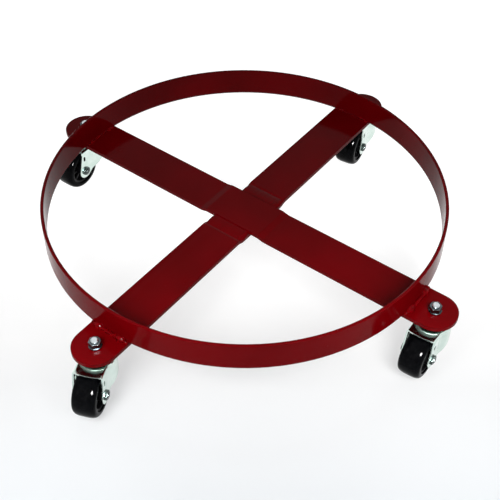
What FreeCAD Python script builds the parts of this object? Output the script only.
import FreeCAD, Part
import math
import operator
import os
import Sketcher

# Drum trolley: a rolled ring on two crossed bars, carried by four swivel casters.
# Millimetres, +Z up. The origin is the centre of the crossing's top face, on the ring's axis.
# The upper bar lies along X and the lower bar along Y.

# Driving dimensions
SIZES = {
    # Ring that holds the drum
    "ring_inner_diameter": 600,
    "ring_thickness": 5,
    "ring_height": 46,
    "ring_edge_break": 1,
    "ring_bevel_height": 3.2,
    "ring_bevel_depth": 2,
    # Crossed bars
    "bar_width": 67,
    "bar_thickness": 6,
    "stem_circle_radius": 334,
    "joggle_rise": 2.5,
    "joggle_margin": 15,
    "joggle_run": 10,
    "bend_radius": 8,
    # Welds
    "ring_bead_leg": 4.5,
    "ring_bead_inset": 3,
    "inner_bead_setback": 0.8,
    "crossing_bead_leg": 3.5,
    "crossing_bead_inset": 5,
    # Threaded stem with its nut and washer
    "stem_diameter": 10,
    "stem_hole_clearance": 0.5,
    "stem_stand_out": 3,
    "stem_end_chamfer": 1,
    "thread_gap": 0.05,
    "nut_across_flats": 16,
    "nut_height": 8,
    "nut_chamfer_angle": 30,
    "washer_diameter": 19,
    "washer_thickness": 2,
    "pin_shoulder_diameter": 14,
    "pin_head_diameter": 19,
    "pin_head_height": 5,
    "pin_head_crown": 2,
    # Swivel bearing
    "cap_thickness": 4,
    "cap_skirt_gap": 2,
    "cap_skirt_wall": 2,
    "cap_skirt_depth": 9,
    "cap_edge_radius": 2,
    "ball_diameter": 6,
    "ball_circle_radius": 16,
    "ball_count": 8,
    "ball_gap": 0.3,
    "race_groove_depth": 1.2,
    "race_gap": 0.3,
    "lower_race_diameter": 28,
    "lower_race_thickness": 3,
    "lower_race_edge_break": 1,
    "fork_hole_gap": 0.6,
    # Pressed fork
    "caster_height": 88,
    "trail": 34,
    "sheet_thickness": 2.5,
    "fork_width": 44,
    "shell_radius": 27.5,
    "shell_blend_radius": 8,
    "dome_land": 5,
    "dome_rise": 4.3,
    "dome_bend_radius": 2,
    "hood_reach": 40,
    "hood_bow_depth": 3,
    "crown_bend_radius": 4,
    "leg_end_radius": 13,
    "leg_knee_reach": 12,
    "leg_knee_drop": 25.5,
    "skirt_drop": 14,
    "slot_width": 4.5,
    "slot_length": 9,
    "slot_lift": 25,
    "slot_inset": 3,
    "axle_hole_clearance": 0.3,
    # Wheel and axle
    "wheel_clearance": 3,
    "tyre_side_gap": 2,
    "tyre_shoulder_radius": 9,
    "tyre_depth": 10,
    "hub_side_gap": 0.5,
    "hub_rim_inset": 2.5,
    "hub_rim_wall": 3.5,
    "hub_barrel_diameter": 20,
    "hub_web_thickness": 5,
    "hub_rib_thickness": 2.5,
    "hub_rib_width": 22,
    "hub_rib_count": 8,
    "sleeve_diameter": 12,
    "sleeve_running_gap": 0.05,
    "axle_diameter": 8,
    "axle_sleeve_gap": 0.3,
    "axle_head_across_flats": 13,
    "axle_head_height": 5.3,
    "axle_nut_height": 5,
    "axle_stand_out": 1.5,
    # Where each caster trails at rest, turned from +X
    "front_right_trail_angle": -87,
    "rear_right_trail_angle": -81,
    "rear_left_trail_angle": -88,
    "front_left_trail_angle": -67,
    # How far a cut runs past what it cuts
    "cut_overrun": 2,
}

# The casters in turn round the circle of stems, a quarter turn apart, from +X
CASTERS = ("front_right", "rear_right", "rear_left", "front_left")
FULL_TURN_ANGLE = 360
QUARTER_TURN_ANGLE = FULL_TURN_ANGLE / len(CASTERS)
HEX_SIDE_COUNT = 6
SAME_PLACE = 1e-4
UP = FreeCAD.Vector(0, 0, 1)
# A sketch edge's points, and where an arc that runs either way starts
START, END, MIDDLE = range(1, 4)
ARC_STARTS = {1: START, -1: END}

doc = FreeCAD.newDocument("drum_trolley")
sheet = doc.addObject("Spreadsheet::Sheet", "Sizes")
for row, (alias, number) in enumerate(SIZES.items(), start=1):
    sheet.set(f"A{row}", alias)
    sheet.set(f"B{row}", str(number))
    sheet.setAlias(f"B{row}", alias)
doc.recompute()


class Size:
    """A value of the sheet, or one worked out from such values, with the expression that gives it."""

    def __init__(self, value, text):
        self.value = value
        self.text = text

    def join(self, sign, work, other):
        other = other if isinstance(other, Size) else plain(other)
        return Size(work(self.value, other.value), f"({self.text} {sign} {other.text})")

    def __add__(self, other):
        return self.join("+", operator.add, other)

    def __sub__(self, other):
        return self.join("-", operator.sub, other)

    def __mul__(self, other):
        return self.join("*", operator.mul, other)

    def __truediv__(self, other):
        return self.join("/", operator.truediv, other)

    def __neg__(self):
        return Size(-self.value, f"(-{self.text})")


class Cells:
    """Reads a cell of the sheet by its alias."""

    def __getattr__(self, alias):
        return Size(float(sheet.get(alias)), f"Sizes.{alias}")


def plain(number):
    """A number that doesn't come from the sheet, such as a share of a full turn."""
    return Size(number, str(number))


def root(size):
    return Size(math.sqrt(size.value), f"sqrt({size.text})")


def sine(angle):
    return Size(math.sin(math.radians(angle.value)), f"sin({angle.text})")


def cosine(angle):
    return Size(math.cos(math.radians(angle.value)), f"cos({angle.text})")


def arc_sine(ratio):
    return Size(math.degrees(math.asin(ratio.value)), f"asin({ratio.text})")


def other_leg(hypotenuse, side):
    """The other short side of a right triangle."""
    return root(hypotenuse * hypotenuse - side * side)


def tangent_point(place, centre, radius, side):
    """Where a line from place touches a circle; side is 1 or -1."""
    across = place[0] - centre[0]
    up = place[1] - centre[1]
    square = across * across + up * up
    along = radius * radius / square
    aside = radius * root(square - radius * radius) / square * side
    return centre[0] + along * across - aside * up, centre[1] + along * up + aside * across


def on_circle(centre, radius, bearing):
    """The place on a circle at a bearing in degrees."""
    return centre[0] + radius * cosine(bearing), centre[1] + radius * sine(bearing)


cell = Cells()
ZERO = plain(0)
past = cell.cut_overrun

# Heights, all measured from the crossing's top face
arm_top = -cell.joggle_rise
arm_bottom = arm_top - cell.bar_thickness
crossing_face = -cell.bar_thickness
ring_top = arm_top + cell.ring_height
nut_seat = arm_top + cell.washer_thickness
stem_top = nut_seat + cell.nut_height + cell.stem_stand_out
floor = arm_bottom - cell.caster_height
cap_bottom = arm_bottom - cell.cap_thickness
groove_radius = cell.ball_diameter / 2 + cell.ball_gap
ball_height = cap_bottom + cell.race_groove_depth - groove_radius
dome_top = ball_height - groove_radius + cell.race_groove_depth
dome_bottom = dome_top - cell.sheet_thickness
race_top = dome_bottom - cell.race_gap
race_bottom = race_top - cell.lower_race_thickness
crown_top = dome_top - cell.dome_rise
crown_bottom = crown_top - cell.sheet_thickness
wheel_radius = (crown_bottom - cell.wheel_clearance - floor) / 2
axle_height = floor + wheel_radius
leg_end = axle_height - cell.leg_end_radius

# Radii and half widths that several pieces share
bore_radius = cell.ring_inner_diameter / 2
ring_radius = bore_radius + cell.ring_thickness
half_bar = cell.bar_width / 2
stem_radius = cell.stem_diameter / 2
threaded_bore = stem_radius + cell.thread_gap
dome_radius = cell.ball_circle_radius + cell.dome_land
leg_outside = cell.fork_width / 2
leg_inside = leg_outside - cell.sheet_thickness
half_tyre = leg_inside - cell.tyre_side_gap
rim_radius = wheel_radius - cell.tyre_depth
axle_radius = cell.axle_diameter / 2
axle_hole_radius = axle_radius + cell.axle_hole_clearance
sleeve_radius = cell.sleeve_diameter / 2


def new_body(label):
    body = doc.addObject("PartDesign::Body", label)
    body.Label = label
    return body


def sketch_on(body, role, height=ZERO):
    """A sketch on one of the body's own origin planes, lifted off it by a height."""
    plane = next(item for item in body.Origin.OriginFeatures if item.Role == role)
    sketch = body.newObject("Sketcher::SketchObject", f"{body.Name}_sketch")
    sketch.AttachmentSupport = [(plane, "")]
    sketch.MapMode = "FlatFace"
    sketch.AttachmentOffset = FreeCAD.Placement(FreeCAD.Vector(0, 0, height.value), FreeCAD.Rotation())
    sketch.setExpression("AttachmentOffset.Base.z", height.text)
    return sketch


def flat(place):
    return FreeCAD.Vector(place[0].value, place[1].value, 0)


def bind(sketch, constraint, size):
    """Adds a constraint and ties its value to the sheet."""
    index = sketch.addConstraint(constraint)
    sketch.setExpression(f"Constraints[{index}]", size.text)


def pin_along(sketch, axis, edge, point, place):
    """Holds a point of a sketch edge along one of the sketch's two axes."""
    kind = ("DistanceX", "DistanceY")[axis]
    bind(sketch, Sketcher.Constraint(kind, -1, 1, edge, point, place[axis].value), place[axis])


def pin(sketch, edge, point, place):
    """Holds a point of a sketch edge at a place worked out from the sheet."""
    for axis in range(len(place)):
        pin_along(sketch, axis, edge, point, place)


def arc_between(start, end, centre, way):
    """The arc round a centre from start to end, anticlockwise if way is 1 and clockwise if it is -1."""
    bearings = [math.atan2(place.y - centre.y, place.x - centre.x) for place in (start, end)]
    return Part.ArcOfCircle(Part.Circle(centre, UP, centre.distanceToPoint(start)), *bearings[::way])


def outline(sketch, corners, arcs=()):
    """A closed outline through corners. An arc is a side's number, its centre and its way round."""
    bows = {side: (centre, way) for side, centre, way in arcs}
    first = sketch.GeometryCount
    starts = []
    for side, corner in enumerate(corners):
        start, end = flat(corner), flat(corners[(side + 1) % len(corners)])
        if side in bows:
            centre, way = bows[side]
            sketch.addGeometry(arc_between(start, end, flat(centre), way), False)
            starts.append(ARC_STARTS[way])
        else:
            sketch.addGeometry(Part.LineSegment(start, end), False)
            starts.append(START)
    for side, corner in enumerate(corners):
        before = (side - 1) % len(corners)
        join = (first + before, START + END - starts[before], first + side, starts[side])
        sketch.addConstraint(Sketcher.Constraint("Coincident", *join))
        pin(sketch, first + side, starts[side], corner)
    for side, (centre, way) in bows.items():
        chord = flat(corners[(side + 1) % len(corners)]) - flat(corners[side])
        axis = 0 if abs(chord.y) > abs(chord.x) else 1
        pin_along(sketch, axis, first + side, MIDDLE, centre)


def rectangle(sketch, low, high):
    outline(sketch, [low, (high[0], low[1]), high, (low[0], high[1])])


def circle(sketch, centre, radius):
    edge = sketch.addGeometry(Part.Circle(flat(centre), UP, radius.value), False)
    pin(sketch, edge, MIDDLE, centre)
    bind(sketch, Sketcher.Constraint("Radius", edge, radius.value), radius)


def hex_corner(across_flats):
    """How far a hexagon's corners lie from its centre."""
    return across_flats / 2 / cosine(plain(FULL_TURN_ANGLE / HEX_SIDE_COUNT / 2))


def hexagon(sketch, across_flats):
    corner = hex_corner(across_flats)
    bearings = [plain(side * FULL_TURN_ANGLE / HEX_SIDE_COUNT) for side in range(HEX_SIDE_COUNT)]
    outline(sketch, [on_circle((ZERO, ZERO), corner, bearing) for bearing in bearings])


def extrude(kind, sketch, length, symmetric=False, turned=False):
    """A Pad or a Pocket of a sketch, with its length tied to the sheet."""
    body = sketch.getParentGeoFeatureGroup()
    feature = body.newObject(f"PartDesign::{kind}", f"{body.Name}_{kind.lower()}")
    feature.Profile = sketch
    feature.Reversed = turned
    feature.SideType = "Symmetric" if symmetric else "One side"
    feature.Length = length.value
    feature.setExpression("Length", length.text)
    return feature


def turn(kind, sketch, angle=None):
    """A Revolution or a Groove of a sketch about its upright axis."""
    body = sketch.getParentGeoFeatureGroup()
    feature = body.newObject(f"PartDesign::{kind}", f"{body.Name}_{kind.lower()}")
    feature.Profile = sketch
    feature.ReferenceAxis = (sketch, ["V_Axis"])
    feature.Angle = FULL_TURN_ANGLE
    if angle is not None:
        feature.Midplane = True
        feature.Angle = angle.value
        feature.setExpression("Angle", angle.text)
    return feature


def round_edges(feature, radius, chosen):
    """Rounds the feature's edges that chosen picks."""
    doc.recompute()
    names = [f"Edge{number}" for number, edge in enumerate(feature.Shape.Edges, start=1) if chosen(edge)]
    body = feature.getParentGeoFeatureGroup()
    fillet = body.newObject("PartDesign::Fillet", f"{body.Name}_fillet")
    fillet.Base = (feature, names)
    fillet.Radius = radius.value
    fillet.setExpression("Radius", radius.text)
    return fillet


def lies_at(value, size):
    return math.isclose(value, size.value, abs_tol=SAME_PLACE)


def is_level(edge, height):
    """Whether the whole edge lies at one height."""
    return lies_at(edge.BoundBox.ZMin, height) and lies_at(edge.BoundBox.ZMax, height)


def turned_body(label, role, corners, arcs=()):
    """A body turned from one outline."""
    body = new_body(label)
    sketch = sketch_on(body, role)
    outline(sketch, corners, arcs)
    turn("Revolution", sketch)
    return body


def group(label, pieces):
    """Separate solids that share one node."""
    compound = doc.addObject("Part::Compound", label)
    compound.Label = label
    compound.Links = pieces
    return compound


def put(piece, spot, heading):
    """Puts a piece at a spot, turned about +Z."""
    piece.Placement = FreeCAD.Placement(
        FreeCAD.Vector(*[size.value for size in spot]), FreeCAD.Rotation(UP, heading.value))
    for axis, size in zip("xyz", spot):
        piece.setExpression(f"Placement.Base.{axis}", size.text)
    piece.setExpression("Placement.Rotation.Angle", heading.text)
    return piece


def turn_about_ring(piece, quarters):
    return put(piece, (ZERO, ZERO, ZERO), plain(quarters * QUARTER_TURN_ANGLE))


def drum_ring():
    """Flat bar rolled on edge, with broken edges and a bevel at its inner foot that takes the weld."""
    edge = cell.ring_edge_break
    return turned_body("drum_ring", "XZ_Plane", [
        (bore_radius + cell.ring_bevel_depth, arm_top),
        (ring_radius - edge, arm_top),
        (ring_radius, arm_top + edge),
        (ring_radius, ring_top - edge),
        (ring_radius - edge, ring_top),
        (bore_radius + edge, ring_top),
        (bore_radius, ring_top - edge),
        (bore_radius, arm_top + cell.ring_bevel_height),
    ])


def cross_bar(label, crossing_top):
    """Flat bar with a joggle at the crossing, and a round tab with a stem hole at each end."""
    body = new_body(label)
    reach = cell.stem_circle_radius + half_bar
    bend_in = half_bar + cell.joggle_margin
    bend_out = bend_in + cell.joggle_run
    crossing_under = crossing_top - cell.bar_thickness
    side = sketch_on(body, "XZ_Plane")
    outline(side, [
        (-reach, arm_top),
        (-bend_out, arm_top),
        (-bend_in, crossing_top),
        (bend_in, crossing_top),
        (bend_out, arm_top),
        (reach, arm_top),
        (reach, arm_bottom),
        (bend_out, arm_bottom),
        (bend_in, crossing_under),
        (-bend_in, crossing_under),
        (-bend_out, arm_bottom),
        (-reach, arm_bottom),
    ])
    strip = extrude("Pad", side, cell.bar_width, symmetric=True)

    def at_bend(edge):
        middle = edge.CenterOfMass
        at_crease = lies_at(abs(middle.x), bend_in) or lies_at(abs(middle.x), bend_out)
        return lies_at(middle.y, ZERO) and at_crease

    round_edges(strip, cell.bend_radius, at_bend)
    ends = sketch_on(body, "XY_Plane", arm_top)
    holes = sketch_on(body, "XY_Plane", arm_top)
    for way in (1, -1):
        stem = cell.stem_circle_radius * way
        beyond = (reach + past) * way
        outline(ends, [
            (stem, half_bar),
            (stem, -half_bar),
            (stem, -half_bar - past),
            (beyond, -half_bar - past),
            (beyond, half_bar + past),
            (stem, half_bar + past),
        ], [(0, (stem, ZERO), -way)])
        circle(holes, (stem, ZERO), stem_radius + cell.stem_hole_clearance)
    for sketch in (ends, holes):
        extrude("Pocket", sketch, (cell.bar_thickness + past) * 2, symmetric=True)
    return body


def ring_bead(label, corners, radius):
    """Weld bead along the ring across one arm."""
    body = new_body(label)
    sketch = sketch_on(body, "XZ_Plane")
    outline(sketch, corners)
    turn("Revolution", sketch, arc_sine((half_bar - cell.ring_bead_inset) / radius) * 2)
    return body


def ring_weld_beads():
    edge, leg = cell.ring_edge_break, cell.ring_bead_leg
    outer = [
        (ring_radius - edge, arm_top),
        (ring_radius + leg, arm_top),
        (ring_radius, arm_top + leg),
        (ring_radius, arm_top + edge),
    ]
    inner = [
        (bore_radius + cell.inner_bead_setback, arm_top),
        (bore_radius + cell.ring_bevel_depth, arm_top),
        (bore_radius, arm_top + cell.ring_bevel_height),
    ]
    beads = []
    for quarter, name in enumerate(CASTERS):
        for where, corners, radius in (("outer", outer, ring_radius), ("inner", inner, bore_radius)):
            bead = ring_bead(f"{where}_bead_{name}", corners, radius)
            beads.append(turn_about_ring(bead, quarter))
    return group("ring_weld_beads", beads)


def crossing_bead(label, leg_height, quarter):
    """Weld bead in the corner between one bar's edge and the other bar's face."""
    body = new_body(label)
    sketch = sketch_on(body, "XZ_Plane")
    outline(sketch, [
        (half_bar, crossing_face),
        (half_bar + cell.crossing_bead_leg, crossing_face),
        (half_bar, crossing_face + leg_height),
    ])
    extrude("Pad", sketch, cell.bar_width - cell.crossing_bead_inset * 2, symmetric=True)
    return turn_about_ring(body, quarter)


def crossing_weld_beads():
    leg = cell.crossing_bead_leg
    return group("crossing_weld_beads", [
        crossing_bead("under_bead_right", -leg, 0),
        crossing_bead("upper_bead_rear", leg, 1),
        crossing_bead("under_bead_left", -leg, 2),
        crossing_bead("upper_bead_front", leg, 3),
    ])


def king_pin(label):
    """Threaded stem with a shoulder that the swivel turns round and a riveted head."""
    shoulder = cell.pin_shoulder_diameter / 2
    head = cell.pin_head_diameter / 2
    head_bottom = race_bottom - cell.pin_head_height
    return turned_body(label, "XZ_Plane", [
        (ZERO, stem_top),
        (stem_radius - cell.stem_end_chamfer, stem_top),
        (stem_radius, stem_top - cell.stem_end_chamfer),
        (stem_radius, cap_bottom),
        (shoulder, cap_bottom),
        (shoulder, race_top),
        (stem_radius, race_top),
        (stem_radius, race_bottom),
        (head, race_bottom),
        (head, head_bottom + cell.pin_head_crown),
        (head - cell.pin_head_crown, head_bottom),
        (ZERO, head_bottom),
    ])


def stem_washer(label):
    hole = stem_radius + cell.stem_hole_clearance
    rim = cell.washer_diameter / 2
    return turned_body(label, "XZ_Plane", [
        (hole, arm_top),
        (rim, arm_top),
        (rim, nut_seat),
        (hole, nut_seat),
    ])


def stem_nut(label):
    """Hexagon nut with its upper corners turned off."""
    body = new_body(label)
    sketch = sketch_on(body, "XY_Plane", nut_seat)
    hexagon(sketch, cell.nut_across_flats)
    circle(sketch, (ZERO, ZERO), threaded_bore)
    extrude("Pad", sketch, cell.nut_height)
    nut_top = nut_seat + cell.nut_height
    flat_radius = cell.nut_across_flats / 2
    outside = hex_corner(cell.nut_across_flats) + past
    slope = sine(cell.nut_chamfer_angle) / cosine(cell.nut_chamfer_angle)
    corner_cut = sketch_on(body, "XZ_Plane")
    outline(corner_cut, [
        (flat_radius, nut_top),
        (outside, nut_top - (outside - flat_radius) * slope),
        (outside, nut_top + past),
        (flat_radius, nut_top + past),
    ])
    turn("Groove", corner_cut)
    return body


def swivel_cap(label):
    """Upper ball race, clamped under the tab, with a skirt over the balls."""
    inside = dome_radius + cell.cap_skirt_gap
    rim = inside + cell.cap_skirt_wall
    skirt_bottom = arm_bottom - cell.cap_skirt_depth
    edge = cell.cap_edge_radius
    body = turned_body(label, "XZ_Plane", [
        (threaded_bore, arm_bottom),
        (rim - edge, arm_bottom),
        (rim, arm_bottom - edge),
        (rim, skirt_bottom),
        (inside, skirt_bottom),
        (inside, cap_bottom),
        (threaded_bore, cap_bottom),
    ], [(1, (rim - edge, arm_bottom - edge), -1)])
    ball_track(body)
    return body


def stem_place(name):
    """Where a caster's swivel axis stands."""
    return on_circle((ZERO, ZERO), cell.stem_circle_radius, plain(CASTERS.index(name) * QUARTER_TURN_ANGLE))


def ball_track(body):
    """The groove that the swivel's balls run in."""
    track = sketch_on(body, "XZ_Plane")
    circle(track, (cell.ball_circle_radius, ball_height), groove_radius)
    return turn("Groove", track)


def swivel_balls():
    """The balls of all four swivels, evenly spaced round each king pin."""
    balls = []
    count = int(cell.ball_count.value)
    for name in CASTERS:
        for number in range(count):
            ball = doc.addObject("Part::Sphere", f"ball_{name}_{number}")
            ball.setExpression("Radius", (cell.ball_diameter / 2).text)
            bearing = plain(number * FULL_TURN_ANGLE / count)
            spot = on_circle(stem_place(name), cell.ball_circle_radius, bearing)
            balls.append(put(ball, (*spot, ball_height), ZERO))
    return group("swivel_balls", balls)


def lower_race(label):
    """Washer that holds the fork up to the balls."""
    rim = cell.lower_race_diameter / 2
    edge = cell.lower_race_edge_break
    return turned_body(label, "XZ_Plane", [
        (threaded_bore, race_top),
        (rim - edge, race_top),
        (rim, race_top - edge),
        (rim, race_bottom),
        (threaded_bore, race_bottom),
    ])


def shell_plan(sketch, wall, reach):
    """Plan of the sheet, a wall inside its outer face: a round nose that blends into two straight sides."""
    nose = cell.shell_radius - wall
    half_width = leg_outside - wall
    hinge = cell.shell_radius + cell.shell_blend_radius
    across = leg_outside + cell.shell_blend_radius
    along = other_leg(hinge, across)
    at_nose = (along * nose / hinge, across * nose / hinge)
    outline(sketch, [
        at_nose,
        (at_nose[0], -at_nose[1]),
        (along, -half_width),
        (reach, -half_width),
        (reach, half_width),
        (along, half_width),
    ], [(0, (ZERO, ZERO), 1), (1, (along, -across), -1), (5, (along, across), -1)])


def fork(label):
    """Pressed hood over the wheel: a domed crown, a round nose and two legs down to the axle."""
    body = new_body(label)
    axle = (cell.trail, axle_height)
    blank_end = cell.trail + cell.leg_end_radius + cell.hood_reach
    depth = crown_top - leg_end + past

    blank = sketch_on(body, "XY_Plane", crown_top)
    shell_plan(blank, ZERO, blank_end)
    block = extrude("Pad", blank, depth, turned=True)

    def bend_at(height):
        return lambda edge: is_level(edge, height) and not lies_at(edge.BoundBox.XMin, blank_end)

    round_edges(block, cell.crown_bend_radius, bend_at(crown_top))

    hollow = sketch_on(body, "XY_Plane", crown_bottom)
    shell_plan(hollow, cell.sheet_thickness, blank_end + past)
    shell = extrude("Pocket", hollow, depth)
    round_edges(shell, cell.crown_bend_radius - cell.sheet_thickness, bend_at(crown_bottom))

    pin_hole = cell.pin_shoulder_diameter / 2 + cell.fork_hole_gap
    inside_hole = pin_hole / 2
    inside_sheet = (crown_top + crown_bottom) / 2
    dome = sketch_on(body, "XZ_Plane")
    rectangle(dome, (inside_hole, inside_sheet), (dome_radius, dome_top))
    turn("Revolution", dome)
    under_dome = sketch_on(body, "XZ_Plane")
    inside_wall = dome_radius - cell.sheet_thickness
    rectangle(under_dome, (inside_hole, crown_bottom - past), (inside_wall, dome_bottom))
    turn("Groove", under_dome)
    pin_way = sketch_on(body, "XY_Plane", dome_top + past)
    circle(pin_way, (ZERO, ZERO), pin_hole)
    extrude("Pocket", pin_way, dome_top - crown_bottom + past * 2)
    crown = ball_track(body)

    def at_dome_edge(edge):
        return is_level(edge, dome_top) and lies_at(edge.BoundBox.XMax, dome_radius)

    round_edges(crown, cell.dome_bend_radius, at_dome_edge)

    nose = -cell.shell_radius - past
    lip = (cell.hood_reach - cell.hood_bow_depth, crown_bottom)
    knee = (-cell.leg_knee_reach, crown_top - cell.leg_knee_drop)
    trailing = tangent_point(lip, axle, cell.leg_end_radius, -1)
    leading = tangent_point(knee, axle, cell.leg_end_radius, 1)
    side = sketch_on(body, "XZ_Plane")
    outline(side, [
        (nose, dome_top + past),
        (cell.hood_reach, dome_top + past),
        (cell.hood_reach, crown_bottom),
        lip,
        trailing,
        leading,
        knee,
        (nose, crown_top - cell.skirt_drop),
    ], [(4, axle, -1)])
    rectangle(side, (nose - past, leg_end - past * 2), (blank_end + past, dome_top + past * 2))
    extrude("Pocket", side, (cell.shell_radius + past) * 2, symmetric=True)

    bow = cell.hood_bow_depth
    bow_radius = (leg_outside * leg_outside + bow * bow) / bow / 2
    bowed_lip = sketch_on(body, "XY_Plane", crown_top + past)
    outline(bowed_lip, [
        (lip[0], leg_outside),
        (lip[0], -leg_outside),
        (blank_end + past, -leg_outside),
        (blank_end + past, leg_outside),
    ], [(0, (cell.hood_reach - bow_radius, ZERO), -1)])
    extrude("Pocket", bowed_lip, cell.sheet_thickness + past)

    openings = sketch_on(body, "XZ_Plane")
    circle(openings, axle, axle_hole_radius)
    half_slot = cell.slot_width / 2
    slot_low = axle_height + cell.slot_lift - (cell.slot_length - cell.slot_width) / 2
    slot_high = slot_low + cell.slot_length - cell.slot_width
    slot_middle = lip[0] - cell.slot_inset
    outline(openings, [
        (slot_middle - half_slot, slot_high),
        (slot_middle - half_slot, slot_low),
        (slot_middle + half_slot, slot_low),
        (slot_middle + half_slot, slot_high),
    ], [(1, (slot_middle, slot_low), 1), (3, (slot_middle, slot_high), 1)])
    extrude("Pocket", openings, cell.fork_width + past, symmetric=True)
    return body


def axle_bolt(label):
    """Hexagon bolt along Y, with its head outside one leg."""
    body = new_body(label)
    head = sketch_on(body, "XZ_Plane", leg_outside)
    hexagon(head, cell.axle_head_across_flats)
    extrude("Pad", head, cell.axle_head_height)
    shank = sketch_on(body, "XZ_Plane", leg_outside)
    circle(shank, (ZERO, ZERO), axle_radius)
    extrude("Pad", shank, cell.fork_width + cell.axle_nut_height + cell.axle_stand_out, turned=True)
    return body


def axle_nut(label):
    body = new_body(label)
    sketch = sketch_on(body, "XZ_Plane", -leg_outside)
    hexagon(sketch, cell.axle_head_across_flats)
    circle(sketch, (ZERO, ZERO), axle_radius + cell.thread_gap)
    extrude("Pad", sketch, cell.axle_nut_height, turned=True)
    return body


def wheel_sleeve(label):
    """Spacer tube between the legs, which the hub turns on."""
    bore = axle_radius + cell.axle_sleeve_gap
    return turned_body(label, "XY_Plane", [
        (bore, -leg_inside),
        (sleeve_radius, -leg_inside),
        (sleeve_radius, leg_inside),
        (bore, leg_inside),
    ])


def wheel_hub(label):
    """Moulded centre: barrel, web and rim, with ribs on both sides of the web."""
    bore = sleeve_radius + cell.sleeve_running_gap
    barrel = cell.hub_barrel_diameter / 2
    half_barrel = leg_inside - cell.hub_side_gap
    half_web = cell.hub_web_thickness / 2
    half_rim = half_tyre - cell.hub_rim_inset
    rim_inside = rim_radius - cell.hub_rim_wall
    body = turned_body(label, "XY_Plane", [
        (bore, -half_barrel),
        (barrel, -half_barrel),
        (barrel, -half_web),
        (rim_inside, -half_web),
        (rim_inside, -half_rim),
        (rim_radius, -half_rim),
        (rim_radius, half_rim),
        (rim_inside, half_rim),
        (rim_inside, half_web),
        (barrel, half_web),
        (barrel, half_barrel),
        (bore, half_barrel),
    ])
    sketch = sketch_on(body, "XY_Plane")
    half_rib = cell.hub_rib_width / 2
    rectangle(sketch, ((bore + barrel) / 2, -half_rib), ((rim_inside + rim_radius) / 2, half_rib))
    rib = extrude("Pad", sketch, cell.hub_rib_thickness, symmetric=True)
    doc.recompute()
    ribs = body.newObject("PartDesign::PolarPattern", f"{label}_ribs")
    ribs.Originals = [rib]
    ribs.Axis = (sketch, ["V_Axis"])
    ribs.Angle = FULL_TURN_ANGLE
    ribs.Occurrences = int(cell.hub_rib_count.value)
    ribs.setExpression("Occurrences", cell.hub_rib_count.text)
    body.Tip = ribs
    return body


def wheel_tyre(label):
    """Tread round the hub, with rounded shoulders."""
    shoulder = cell.tyre_shoulder_radius
    inner, outer = wheel_radius - shoulder, half_tyre - shoulder
    return turned_body(label, "XY_Plane", [
        (rim_radius, -half_tyre),
        (inner, -half_tyre),
        (wheel_radius, -outer),
        (wheel_radius, outer),
        (inner, half_tyre),
        (rim_radius, half_tyre),
    ], [(1, (inner, -outer), 1), (3, (inner, outer), 1)])


# Assembly
subparts = [
    drum_ring(),
    cross_bar("upper_cross_bar", ZERO),
    turn_about_ring(cross_bar("lower_cross_bar", crossing_face), 1),
    ring_weld_beads(),
    crossing_weld_beads(),
    swivel_balls(),
]
fasteners = {"stem_washers": [], "stem_nuts": []}
for name in CASTERS:
    stem = stem_place(name)
    heading = getattr(cell, f"{name}_trail_angle")
    at_swivel = (*stem, ZERO)
    at_axle = (*on_circle(stem, cell.trail, heading), axle_height)
    fasteners["stem_washers"].append(put(stem_washer(f"stem_washer_{name}"), at_swivel, heading))
    fasteners["stem_nuts"].append(put(stem_nut(f"stem_nut_{name}"), at_swivel, heading))
    for make in (king_pin, swivel_cap, lower_race, fork):
        subparts.append(put(make(f"{make.__name__}_{name}"), at_swivel, heading))
    for make in (axle_bolt, axle_nut, wheel_sleeve, wheel_hub, wheel_tyre):
        subparts.append(put(make(f"{make.__name__}_{name}"), at_axle, heading))
subparts += [group(label, pieces) for label, pieces in fasteners.items()]

# Build, test and write
doc.recompute()
faults = [item.Label for item in doc.Objects if {"Invalid", "Error"} & set(item.State)]
faults += [piece.Label for piece in subparts if piece.Shape.isNull() or not piece.Shape.isValid()]
if faults:
    raise RuntimeError(f"these objects failed: {faults}")
os.makedirs("parts", exist_ok=True)
for piece in subparts:
    piece.Shape.exportStep(f"parts/{piece.Label}.step")
    print(piece.Label, len(piece.Shape.Solids), "solids", round(piece.Shape.Volume), "mm3")
